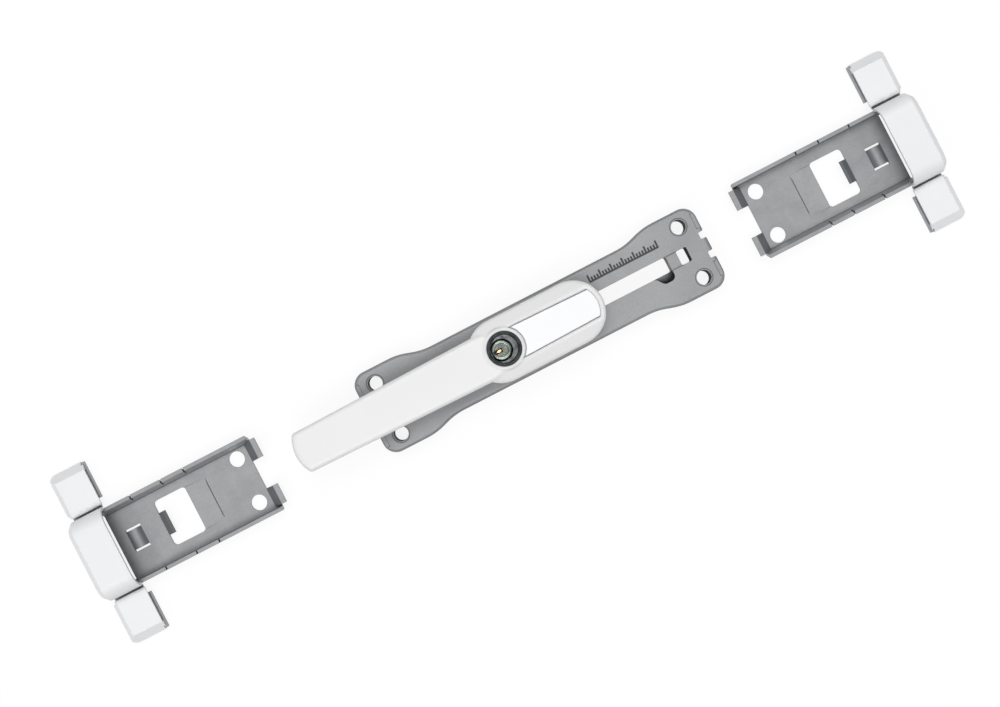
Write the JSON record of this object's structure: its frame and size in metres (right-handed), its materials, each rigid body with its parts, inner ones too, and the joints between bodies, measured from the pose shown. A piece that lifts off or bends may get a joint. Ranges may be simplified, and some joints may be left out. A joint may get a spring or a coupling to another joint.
{
  "type": "window rod lock",
  "caption": "Window rod lock: a lever with a key cylinder turns racks in a cast body, with a channel plate and a strike with hinged screw flaps for the end of each rod.",
  "frame": {"origin": "bottom centre of the whole set's box, on the sash face", "axes": "+X along the rods towards the end where the body's slot shows, +Y across, +Z from the sash face to the user"},
  "size_m": [0.4442, 0.089, 0.0275],
  "materials": {
    "silver_casting": "satin silver-grey coating on a zinc die casting",
    "zinc_sheet": "zinc-plated sheet steel, matt",
    "white_lacquer": "white powder coat on a die casting",
    "white_plastic": "white moulded ABS, half gloss",
    "dark_nickel": "dark nickel plate",
    "plug_nickel": "satin nickel plate on brass",
    "brass": "plain brass",
    "bronze_bush": "sintered bronze",
    "bright_steel": "bright turned steel",
    "gear_steel": "hardened steel",
    "spring_steel": "spring wire"
  },
  "bodies": {
    "root": {"lock_body": "silver_casting", "back_plate": "zinc_sheet", "back_plate_screws": "bright_steel", "bearing_bush": "bronze_bush", "left_end_plate": "zinc_sheet", "left_strike_base": "zinc_sheet", "left_bridge_cover": "white_plastic", "left_hinge_pins": "bright_steel", "right_end_plate": "zinc_sheet", "right_strike_base": "zinc_sheet", "right_bridge_cover": "white_plastic", "right_hinge_pins": "bright_steel"},
    "handle": {"handle": "white_lacquer", "pinion": "gear_steel", "spindle": "bright_steel", "handle_screw": "bright_steel", "cover_strip": "white_plastic", "cylinder_sleeve": "dark_nickel", "return_spring": "spring_steel"},
    "cylinder": {"cylinder_body": "dark_nickel", "locking_pin": "bright_steel"},
    "plug": {"key_plug": "plug_nickel", "tumbler_pin": "brass"},
    "rack_right": {"rack_right": "gear_steel"},
    "rack_left": {"rack_left": "gear_steel"},
    "right_flap_upper": {"right_flap_upper": "white_plastic"},
    "right_flap_lower": {"right_flap_lower": "white_plastic"},
    "left_flap_upper": {"left_flap_upper": "white_plastic"},
    "left_flap_lower": {"left_flap_lower": "white_plastic"}
  },
  "joints": [
    {"name": "handle_turn", "type": "hinge", "parent": "root", "child": "handle", "pos_m": [0.017, 0, 0.0118], "axis": [0, 0, 1], "range_deg": [0, 180]},
    {"name": "rack_right_slide", "type": "slide", "parent": "root", "child": "rack_right", "axis": [1, 0, 0], "range_m": [0, 0.0252]},
    {"name": "rack_left_slide", "type": "slide", "parent": "root", "child": "rack_left", "axis": [-1, 0, 0], "range_m": [0, 0.0252]},
    {"name": "cylinder_press", "type": "slide", "parent": "handle", "child": "cylinder", "axis": [0, 0, -1], "range_m": [0, 0.0027], "stiffness_N_per_m": 1200, "springref_m": -0.002, "deforming": ["return_spring"]},
    {"name": "plug_turn", "type": "hinge", "parent": "cylinder", "child": "plug", "pos_m": [-0.00305, 0, 0.0259], "axis": [0, 0, 1], "range_deg": [0, 90]},
    {"name": "right_flap_upper_hinge", "type": "hinge", "parent": "root", "child": "right_flap_upper", "pos_m": [0.21295, 0.0235, 0.0038], "axis": [1, 0, 0], "range_deg": [0, 90]},
    {"name": "right_flap_lower_hinge", "type": "hinge", "parent": "root", "child": "right_flap_lower", "pos_m": [0.21295, -0.0235, 0.0038], "axis": [-1, 0, 0], "range_deg": [0, 90]},
    {"name": "left_flap_upper_hinge", "type": "hinge", "parent": "root", "child": "left_flap_upper", "pos_m": [-0.21295, 0.0235, 0.0038], "axis": [1, 0, 0], "range_deg": [0, 90]},
    {"name": "left_flap_lower_hinge", "type": "hinge", "parent": "root", "child": "left_flap_lower", "pos_m": [-0.21295, -0.0235, 0.0038], "axis": [-1, 0, 0], "range_deg": [0, 90]}
  ],
  "couplings": [
    {"joint": "rack_right_slide", "follows": "handle_turn", "m_per_rad": 0.008},
    {"joint": "rack_left_slide", "follows": "handle_turn", "m_per_rad": 0.008}
  ]
}
